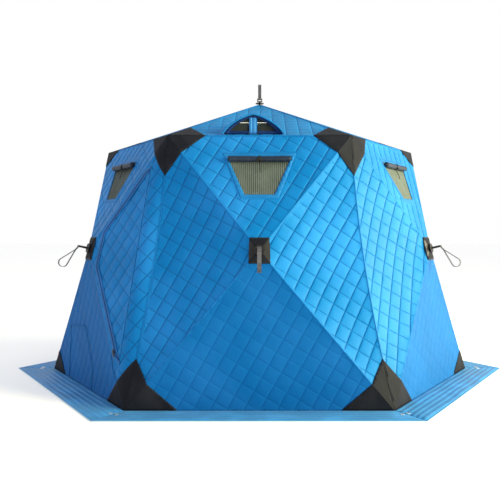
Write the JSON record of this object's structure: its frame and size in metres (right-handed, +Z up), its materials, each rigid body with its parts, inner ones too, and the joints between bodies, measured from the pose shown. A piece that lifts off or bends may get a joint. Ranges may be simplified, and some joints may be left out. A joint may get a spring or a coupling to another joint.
{
  "type": "ice fishing shelter",
  "caption": "Six-sided pop-up hub shelter with quilted walls, pushed out by hinged poles, with a side door, mesh windows, a roof vent and a snow skirt.",
  "frame": {"origin": "centre of the footprint, on the ground under the skirt", "axes": "+Z is up, the front wall with the roof vent faces -Y, and two corners lie on the X axis"},
  "size_m": [3.061, 2.6516, 1.791],
  "materials": {
    "fibreglass": "glossy fibreglass rod with black moulded ends",
    "hub_plastic": "moulded, fine grain",
    "webbing": "woven webbing",
    "fabric_wall": "quilted and coated",
    "fabric_roof": "quilted and coated",
    "fabric_base": "quilted and coated",
    "fabric_hood": "plain coated weave",
    "fabric_skirt": "plain coated weave",
    "eyelet_metal": "pressed, dull",
    "boot_fabric": "heavy coated weave",
    "window_mesh": "ribbed mesh",
    "roll_fabric": "rolled plain cloth",
    "zip_metal": "black enamel"
  },
  "bodies": {
    "tent": {"window_panels": "fabric_wall", "side_panels": "fabric_wall", "base_panels": "fabric_base", "roof_panels": "fabric_roof", "snow_skirt": "fabric_skirt", "skirt_eyelets": "eyelet_metal", "top_corner_boots": "boot_fabric", "base_corner_boots": "boot_fabric", "window_panes": "window_mesh", "window_rolls": "roll_fabric"},
    "hub_front": {"hub_front": "hub_plastic"},
    "pole_front_top_left": {"pole_front_top_left": "fibreglass"},
    "pole_front_top_right": {"pole_front_top_right": "fibreglass"},
    "pole_front_base_left": {"pole_front_base_left": "fibreglass"},
    "pole_front_base_right": {"pole_front_base_right": "fibreglass"},
    "pull_strap_front": {"pull_strap_front": "webbing"},
    "hub_front_right": {"hub_front_right": "hub_plastic"},
    "pole_front_right_top_left": {"pole_front_right_top_left": "fibreglass"},
    "pole_front_right_top_right": {"pole_front_right_top_right": "fibreglass"},
    "pole_front_right_base_left": {"pole_front_right_base_left": "fibreglass"},
    "pole_front_right_base_right": {"pole_front_right_base_right": "fibreglass"},
    "pull_strap_front_right": {"pull_strap_front_right": "webbing"},
    "hub_rear_right": {"hub_rear_right": "hub_plastic"},
    "pole_rear_right_top_left": {"pole_rear_right_top_left": "fibreglass"},
    "pole_rear_right_top_right": {"pole_rear_right_top_right": "fibreglass"},
    "pole_rear_right_base_left": {"pole_rear_right_base_left": "fibreglass"},
    "pole_rear_right_base_right": {"pole_rear_right_base_right": "fibreglass"},
    "pull_strap_rear_right": {"pull_strap_rear_right": "webbing"},
    "hub_rear": {"hub_rear": "hub_plastic"},
    "pole_rear_top_left": {"pole_rear_top_left": "fibreglass"},
    "pole_rear_top_right": {"pole_rear_top_right": "fibreglass"},
    "pole_rear_base_left": {"pole_rear_base_left": "fibreglass"},
    "pole_rear_base_right": {"pole_rear_base_right": "fibreglass"},
    "pull_strap_rear": {"pull_strap_rear": "webbing"},
    "hub_rear_left": {"hub_rear_left": "hub_plastic"},
    "pole_rear_left_top_left": {"pole_rear_left_top_left": "fibreglass"},
    "pole_rear_left_top_right": {"pole_rear_left_top_right": "fibreglass"},
    "pole_rear_left_base_left": {"pole_rear_left_base_left": "fibreglass"},
    "pole_rear_left_base_right": {"pole_rear_left_base_right": "fibreglass"},
    "pull_strap_rear_left": {"pull_strap_rear_left": "webbing"},
    "hub_front_left": {"hub_front_left": "hub_plastic"},
    "pole_front_left_top_left": {"pole_front_left_top_left": "fibreglass"},
    "pole_front_left_top_right": {"pole_front_left_top_right": "fibreglass"},
    "pole_front_left_base_left": {"pole_front_left_base_left": "fibreglass"},
    "pole_front_left_base_right": {"pole_front_left_base_right": "fibreglass"},
    "pull_strap_front_left": {"pull_strap_front_left": "webbing"},
    "hub_roof": {"hub_roof": "hub_plastic"},
    "roof_pole_1": {"roof_pole_1": "fibreglass"},
    "roof_pole_2": {"roof_pole_2": "fibreglass"},
    "roof_pole_3": {"roof_pole_3": "fibreglass"},
    "roof_pole_4": {"roof_pole_4": "fibreglass"},
    "roof_pole_5": {"roof_pole_5": "fibreglass"},
    "roof_pole_6": {"roof_pole_6": "fibreglass"},
    "pull_strap_roof": {"pull_strap_roof": "webbing"},
    "vent_panel": {"vent_panel": "fabric_roof", "vent_hood": "fabric_hood"},
    "vent_prop": {"vent_prop": "fabric_hood"},
    "door_surround": {"door_surround": "fabric_wall"},
    "door_flap": {"door_flap": "fabric_wall"},
    "zip_slider": {"zip_slider": "zip_metal"}
  },
  "joints": [
    {"name": "push_front", "type": "slide", "parent": "tent", "child": "hub_front", "axis": [0, 0.9761, -0.2175], "range_m": [0, 0.28], "deforming": ["pull_strap_front"]},
    {"name": "fold_pole_front_top_left", "type": "hinge", "parent": "hub_front", "child": "pole_front_top_left", "pos_m": [-0.01919, -1.06439, 0.79056], "axis": [0.8003, 0.1304, 0.5852], "range_deg": [0, 23.61]},
    {"name": "fold_pole_front_top_right", "type": "hinge", "parent": "hub_front", "child": "pole_front_top_right", "pos_m": [0.01919, -1.06439, 0.79056], "axis": [0.8003, -0.1304, -0.5852], "range_deg": [0, 23.61]},
    {"name": "fold_pole_front_base_left", "type": "hinge", "parent": "hub_front", "child": "pole_front_base_left", "pos_m": [-0.02081, -1.07525, 0.74184], "axis": [-0.7597, 0.1415, 0.6347], "range_deg": [0, 18.14]},
    {"name": "fold_pole_front_base_right", "type": "hinge", "parent": "hub_front", "child": "pole_front_base_right", "pos_m": [0.02081, -1.07525, 0.74184], "axis": [-0.7597, -0.1415, -0.6347], "range_deg": [0, 18.14]},
    {"name": "swing_pull_strap_front", "type": "hinge", "parent": "hub_front", "child": "pull_strap_front", "pos_m": [0, -1.1539, 0.78427], "axis": [1, 0, 0], "range_deg": [-57, 45]},
    {"name": "push_front_right", "type": "slide", "parent": "tent", "child": "hub_front_right", "axis": [-0.8453, 0.488, -0.2175], "range_m": [0, 0.28], "deforming": ["pull_strap_front_right"]},
    {"name": "fold_pole_front_right_top_left", "type": "hinge", "parent": "hub_front_right", "child": "pole_front_right_top_left", "pos_m": [0.91219, -0.54881, 0.79056], "axis": [0.2872, 0.7583, 0.5852], "range_deg": [0, 23.61]},
    {"name": "fold_pole_front_right_top_right", "type": "hinge", "parent": "hub_front_right", "child": "pole_front_right_top_right", "pos_m": [0.93138, -0.51558, 0.79056], "axis": [0.5131, 0.6279, -0.5852], "range_deg": [0, 23.61]},
    {"name": "fold_pole_front_right_base_left", "type": "hinge", "parent": "hub_front_right", "child": "pole_front_right_base_left", "pos_m": [0.92078, -0.55564, 0.74184], "axis": [-0.5024, -0.5872, 0.6347], "range_deg": [0, 18.14]},
    {"name": "fold_pole_front_right_base_right", "type": "hinge", "parent": "hub_front_right", "child": "pole_front_right_base_right", "pos_m": [0.94159, -0.5196, 0.74184], "axis": [-0.2573, -0.7287, -0.6347], "range_deg": [0, 18.14]},
    {"name": "swing_pull_strap_front_right", "type": "hinge", "parent": "hub_front_right", "child": "pull_strap_front_right", "pos_m": [0.9993, -0.57695, 0.78427], "axis": [0.5, 0.866, 0], "range_deg": [-57, 45]},
    {"name": "push_rear_right", "type": "slide", "parent": "tent", "child": "hub_rear_right", "axis": [-0.8453, -0.488, -0.2175], "range_m": [0, 0.28], "deforming": ["pull_strap_rear_right"]},
    {"name": "fold_pole_rear_right_top_left", "type": "hinge", "parent": "hub_rear_right", "child": "pole_rear_right_top_left", "pos_m": [0.93138, 0.51558, 0.79056], "axis": [-0.5131, 0.6279, 0.5852], "range_deg": [0, 23.61]},
    {"name": "fold_pole_rear_right_top_right", "type": "hinge", "parent": "hub_rear_right", "child": "pole_rear_right_top_right", "pos_m": [0.91219, 0.54881, 0.79056], "axis": [-0.2872, 0.7583, -0.5852], "range_deg": [0, 23.61]},
    {"name": "fold_pole_rear_right_base_left", "type": "hinge", "parent": "hub_rear_right", "child": "pole_rear_right_base_left", "pos_m": [0.94159, 0.5196, 0.74184], "axis": [0.2573, -0.7287, 0.6347], "range_deg": [0, 18.14]},
    {"name": "fold_pole_rear_right_base_right", "type": "hinge", "parent": "hub_rear_right", "child": "pole_rear_right_base_right", "pos_m": [0.92078, 0.55564, 0.74184], "axis": [0.5024, -0.5872, -0.6347], "range_deg": [0, 18.14]},
    {"name": "swing_pull_strap_rear_right", "type": "hinge", "parent": "hub_rear_right", "child": "pull_strap_rear_right", "pos_m": [0.9993, 0.57695, 0.78427], "axis": [-0.5, 0.866, 0], "range_deg": [-57, 45]},
    {"name": "push_rear", "type": "slide", "parent": "tent", "child": "hub_rear", "axis": [0, -0.9761, -0.2175], "range_m": [0, 0.28], "deforming": ["pull_strap_rear"]},
    {"name": "fold_pole_rear_top_left", "type": "hinge", "parent": "hub_rear", "child": "pole_rear_top_left", "pos_m": [0.01919, 1.06439, 0.79056], "axis": [-0.8003, -0.1304, 0.5852], "range_deg": [0, 23.61]},
    {"name": "fold_pole_rear_top_right", "type": "hinge", "parent": "hub_rear", "child": "pole_rear_top_right", "pos_m": [-0.01919, 1.06439, 0.79056], "axis": [-0.8003, 0.1304, -0.5852], "range_deg": [0, 23.61]},
    {"name": "fold_pole_rear_base_left", "type": "hinge", "parent": "hub_rear", "child": "pole_rear_base_left", "pos_m": [0.02081, 1.07525, 0.74184], "axis": [0.7597, -0.1415, 0.6347], "range_deg": [0, 18.14]},
    {"name": "fold_pole_rear_base_right", "type": "hinge", "parent": "hub_rear", "child": "pole_rear_base_right", "pos_m": [-0.02081, 1.07525, 0.74184], "axis": [0.7597, 0.1415, -0.6347], "range_deg": [0, 18.14]},
    {"name": "swing_pull_strap_rear", "type": "hinge", "parent": "hub_rear", "child": "pull_strap_rear", "pos_m": [0, 1.1539, 0.78427], "axis": [-1, 0, 0], "range_deg": [-57, 45]},
    {"name": "push_rear_left", "type": "slide", "parent": "tent", "child": "hub_rear_left", "axis": [0.8453, -0.488, -0.2175], "range_m": [0, 0.28], "deforming": ["pull_strap_rear_left"]},
    {"name": "fold_pole_rear_left_top_left", "type": "hinge", "parent": "hub_rear_left", "child": "pole_rear_left_top_left", "pos_m": [-0.91219, 0.54881, 0.79056], "axis": [-0.2872, -0.7583, 0.5852], "range_deg": [0, 23.61]},
    {"name": "fold_pole_rear_left_top_right", "type": "hinge", "parent": "hub_rear_left", "child": "pole_rear_left_top_right", "pos_m": [-0.93138, 0.51558, 0.79056], "axis": [-0.5131, -0.6279, -0.5852], "range_deg": [0, 23.61]},
    {"name": "fold_pole_rear_left_base_left", "type": "hinge", "parent": "hub_rear_left", "child": "pole_rear_left_base_left", "pos_m": [-0.92078, 0.55564, 0.74184], "axis": [0.5024, 0.5872, 0.6347], "range_deg": [0, 18.14]},
    {"name": "fold_pole_rear_left_base_right", "type": "hinge", "parent": "hub_rear_left", "child": "pole_rear_left_base_right", "pos_m": [-0.94159, 0.5196, 0.74184], "axis": [0.2573, 0.7287, -0.6347], "range_deg": [0, 18.14]},
    {"name": "swing_pull_strap_rear_left", "type": "hinge", "parent": "hub_rear_left", "child": "pull_strap_rear_left", "pos_m": [-0.9993, 0.57695, 0.78427], "axis": [-0.5, -0.866, 0], "range_deg": [-57, 45]},
    {"name": "push_front_left", "type": "slide", "parent": "tent", "child": "hub_front_left", "axis": [0.8453, 0.488, -0.2175], "range_m": [0, 0.28], "deforming": ["pull_strap_front_left"]},
    {"name": "fold_pole_front_left_top_left", "type": "hinge", "parent": "hub_front_left", "child": "pole_front_left_top_left", "pos_m": [-0.93138, -0.51558, 0.79056], "axis": [0.5131, -0.6279, 0.5852], "range_deg": [0, 23.61]},
    {"name": "fold_pole_front_left_top_right", "type": "hinge", "parent": "hub_front_left", "child": "pole_front_left_top_right", "pos_m": [-0.91219, -0.54881, 0.79056], "axis": [0.2872, -0.7583, -0.5852], "range_deg": [0, 23.61]},
    {"name": "fold_pole_front_left_base_left", "type": "hinge", "parent": "hub_front_left", "child": "pole_front_left_base_left", "pos_m": [-0.94159, -0.5196, 0.74184], "axis": [-0.2573, 0.7287, 0.6347], "range_deg": [0, 18.14]},
    {"name": "fold_pole_front_left_base_right", "type": "hinge", "parent": "hub_front_left", "child": "pole_front_left_base_right", "pos_m": [-0.92078, -0.55564, 0.74184], "axis": [-0.5024, 0.5872, -0.6347], "range_deg": [0, 18.14]},
    {"name": "swing_pull_strap_front_left", "type": "hinge", "parent": "hub_front_left", "child": "pull_strap_front_left", "pos_m": [-0.9993, -0.57695, 0.78427], "axis": [0.5, -0.866, 0], "range_deg": [-57, 45]},
    {"name": "push_roof", "type": "slide", "parent": "tent", "child": "hub_roof", "axis": [0, 0, -1], "range_m": [0, 0.61]},
    {"name": "fold_roof_pole_1", "type": "hinge", "parent": "hub_roof", "child": "roof_pole_1", "pos_m": [0.044, 0, 1.6215], "axis": [0, -1, 0], "range_deg": [0, 40.54]},
    {"name": "fold_roof_pole_2", "type": "hinge", "parent": "hub_roof", "child": "roof_pole_2", "pos_m": [0.022, 0.0381, 1.6215], "axis": [0.866, -0.5, 0], "range_deg": [0, 40.54]},
    {"name": "fold_roof_pole_3", "type": "hinge", "parent": "hub_roof", "child": "roof_pole_3", "pos_m": [-0.022, 0.0381, 1.6215], "axis": [0.866, 0.5, 0], "range_deg": [0, 40.54]},
    {"name": "fold_roof_pole_4", "type": "hinge", "parent": "hub_roof", "child": "roof_pole_4", "pos_m": [-0.044, 0, 1.6215], "axis": [0, 1, 0], "range_deg": [0, 40.54]},
    {"name": "fold_roof_pole_5", "type": "hinge", "parent": "hub_roof", "child": "roof_pole_5", "pos_m": [-0.022, -0.0381, 1.6215], "axis": [-0.866, 0.5, 0], "range_deg": [0, 40.54]},
    {"name": "fold_roof_pole_6", "type": "hinge", "parent": "hub_roof", "child": "roof_pole_6", "pos_m": [0.022, -0.0381, 1.6215], "axis": [-0.866, -0.5, 0], "range_deg": [0, 40.54]},
    {"name": "swing_pull_strap_roof", "type": "hinge", "parent": "hub_roof", "child": "pull_strap_roof", "pos_m": [0, 0, 1.699], "axis": [1, 0, 0], "range_deg": [-90, 90]},
    {"name": "fold_vent_panel", "type": "hinge", "parent": "tent", "child": "vent_panel", "pos_m": [0, -0.82272, 1.36], "axis": [-1, 0, 0], "range_deg": [0, 40.69]},
    {"name": "fold_vent_prop", "type": "hinge", "parent": "vent_panel", "child": "vent_prop", "pos_m": [-0.033, -0.79293, 1.37744], "axis": [-1, 0, 0], "range_deg": [0, 60]},
    {"name": "fold_door_surround", "type": "hinge", "parent": "tent", "child": "door_surround", "pos_m": [-0.70405, -1.02194, 0.1389], "axis": [-0.1246, -0.2158, -0.9684], "range_deg": [0, 34.39]},
    {"name": "swing_door", "type": "hinge", "parent": "door_surround", "child": "door_flap", "pos_m": [-0.70761, -1.01844, 0.13858], "axis": [0.1246, 0.2158, 0.9684], "range_deg": [0, 110]},
    {"name": "slide_zip", "type": "slide", "parent": "door_surround", "child": "zip_slider", "axis": [-0.2975, 0.5718, 0.7645], "range_m": [0, 0.518]}
  ],
  "couplings": [
    {"joint": "fold_pole_front_top_left", "follows": "push_front", "rad_per_m": 1.471},
    {"joint": "fold_pole_front_top_right", "follows": "push_front", "rad_per_m": 1.471},
    {"joint": "fold_pole_front_base_left", "follows": "push_front", "rad_per_m": 1.13},
    {"joint": "fold_pole_front_base_right", "follows": "push_front", "rad_per_m": 1.13},
    {"joint": "fold_pole_front_right_top_left", "follows": "push_front_right", "rad_per_m": 1.471},
    {"joint": "fold_pole_front_right_top_right", "follows": "push_front_right", "rad_per_m": 1.471},
    {"joint": "fold_pole_front_right_base_left", "follows": "push_front_right", "rad_per_m": 1.13},
    {"joint": "fold_pole_front_right_base_right", "follows": "push_front_right", "rad_per_m": 1.13},
    {"joint": "fold_pole_rear_right_top_left", "follows": "push_rear_right", "rad_per_m": 1.471},
    {"joint": "fold_pole_rear_right_top_right", "follows": "push_rear_right", "rad_per_m": 1.471},
    {"joint": "fold_pole_rear_right_base_left", "follows": "push_rear_right", "rad_per_m": 1.13},
    {"joint": "fold_pole_rear_right_base_right", "follows": "push_rear_right", "rad_per_m": 1.13},
    {"joint": "fold_pole_rear_top_left", "follows": "push_rear", "rad_per_m": 1.471},
    {"joint": "fold_pole_rear_top_right", "follows": "push_rear", "rad_per_m": 1.471},
    {"joint": "fold_pole_rear_base_left", "follows": "push_rear", "rad_per_m": 1.13},
    {"joint": "fold_pole_rear_base_right", "follows": "push_rear", "rad_per_m": 1.13},
    {"joint": "fold_pole_rear_left_top_left", "follows": "push_rear_left", "rad_per_m": 1.471},
    {"joint": "fold_pole_rear_left_top_right", "follows": "push_rear_left", "rad_per_m": 1.471},
    {"joint": "fold_pole_rear_left_base_left", "follows": "push_rear_left", "rad_per_m": 1.13},
    {"joint": "fold_pole_rear_left_base_right", "follows": "push_rear_left", "rad_per_m": 1.13},
    {"joint": "fold_pole_front_left_top_left", "follows": "push_front_left", "rad_per_m": 1.471},
    {"joint": "fold_pole_front_left_top_right", "follows": "push_front_left", "rad_per_m": 1.471},
    {"joint": "fold_pole_front_left_base_left", "follows": "push_front_left", "rad_per_m": 1.13},
    {"joint": "fold_pole_front_left_base_right", "follows": "push_front_left", "rad_per_m": 1.13},
    {"joint": "fold_roof_pole_1", "follows": "push_roof", "rad_per_m": 1.1597},
    {"joint": "fold_roof_pole_2", "follows": "push_roof", "rad_per_m": 1.1597},
    {"joint": "fold_roof_pole_3", "follows": "push_roof", "rad_per_m": 1.1597},
    {"joint": "fold_roof_pole_4", "follows": "push_roof", "rad_per_m": 1.1597},
    {"joint": "fold_roof_pole_5", "follows": "push_roof", "rad_per_m": 1.1597},
    {"joint": "fold_roof_pole_6", "follows": "push_roof", "rad_per_m": 1.1597},
    {"joint": "fold_vent_panel", "follows": "push_roof", "rad_per_m": 1.164},
    {"joint": "fold_door_surround", "follows": "push_front_left", "rad_per_m": 2.1431}
  ]
}
